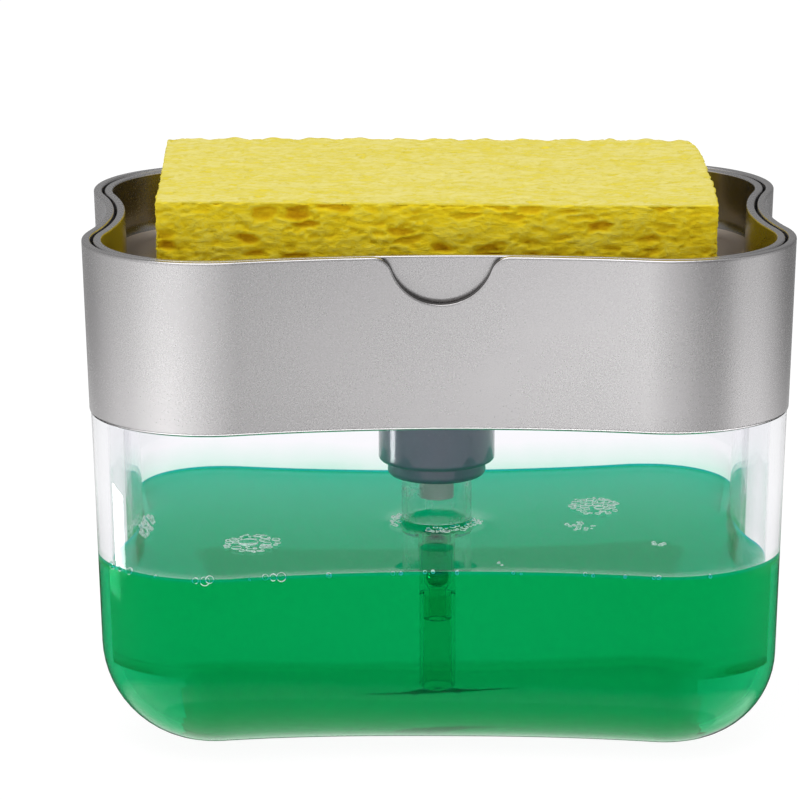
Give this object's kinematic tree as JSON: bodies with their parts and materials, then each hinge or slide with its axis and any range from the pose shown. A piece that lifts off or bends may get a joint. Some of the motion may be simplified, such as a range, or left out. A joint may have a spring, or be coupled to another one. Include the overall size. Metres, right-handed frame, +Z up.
{
  "type": "soap pump caddy",
  "caption": "Lobed clear soap reservoir with a satin collar, a press-down sponge tray over a spring pump, and a sponge; pressing the tray sends soap up into the sponge.",
  "frame": {"origin": "middle of the base, on the surface the caddy stands on", "axes": "+Z up along the pump's axis, +X across the width, -Y towards the front with the finger notch"},
  "size_m": [0.1396, 0.1, 0.1097],
  "materials": {
    "clear_plastic": "clear moulded, polished",
    "liquid_soap": "clear green liquid",
    "satin_metal": "satin nickel look, vacuum-metallised moulded plastic",
    "satin_metal_tray": "satin nickel look, vacuum-metallised moulded plastic",
    "grey_plastic": "moulded, fine matt",
    "slate_plastic": "moulded, satin",
    "white_plastic": "moulded, natural white",
    "clear_pump_plastic": "clear moulded",
    "seal_rubber": "moulded",
    "ball_steel": "polished",
    "spring_steel": "drawn wire",
    "cellulose_sponge": "open-pored cellulose foam"
  },
  "bodies": {
    "base": {"reservoir": "clear_plastic", "soap_fill": "liquid_soap"},
    "lid": {"collar": "satin_metal", "pump_deck": "white_plastic", "pump_retainer_cap": "slate_plastic", "flange_gasket": "seal_rubber", "pump_cylinder": "clear_pump_plastic", "ball_retainer": "white_plastic", "dip_tube": "clear_pump_plastic", "stem_guide": "white_plastic", "return_spring": "spring_steel"},
    "plunger": {"plunger_stem": "white_plastic", "piston": "white_plastic", "nozzle_cap": "slate_plastic", "head_o_ring": "seal_rubber"},
    "tray": {"tray": "satin_metal_tray", "tray_hub": "slate_plastic"},
    "sponge": {"sponge": "cellulose_sponge"},
    "inlet_valve": {"inlet_ball": "ball_steel"},
    "outlet_valve": {"outlet_ball": "ball_steel"}
  },
  "joints": [
    {"name": "lid_lift", "type": "slide", "parent": "base", "child": "lid", "axis": [0, 0, 1], "range_m": [0, 0.075]},
    {"name": "pump_press", "type": "slide", "parent": "lid", "child": "plunger", "axis": [0, 0, -1], "range_m": [0, 0.009], "stiffness_N_per_m": 300, "springref_m": -0.02, "deforming": ["return_spring"]},
    {"name": "tray_lift", "type": "slide", "parent": "plunger", "child": "tray", "axis": [0, 0, 1], "range_m": [0, 0.03]},
    {"name": "sponge_lift", "type": "slide", "parent": "tray", "child": "sponge", "axis": [0, 0, 1], "range_m": [0, 0.03]},
    {"name": "inlet_ball_lift", "type": "slide", "parent": "lid", "child": "inlet_valve", "axis": [0, 0, 1], "range_m": [0, 0.0015]},
    {"name": "outlet_ball_lift", "type": "slide", "parent": "plunger", "child": "outlet_valve", "axis": [0, 0, 1], "range_m": [0, 0.001]}
  ]
}
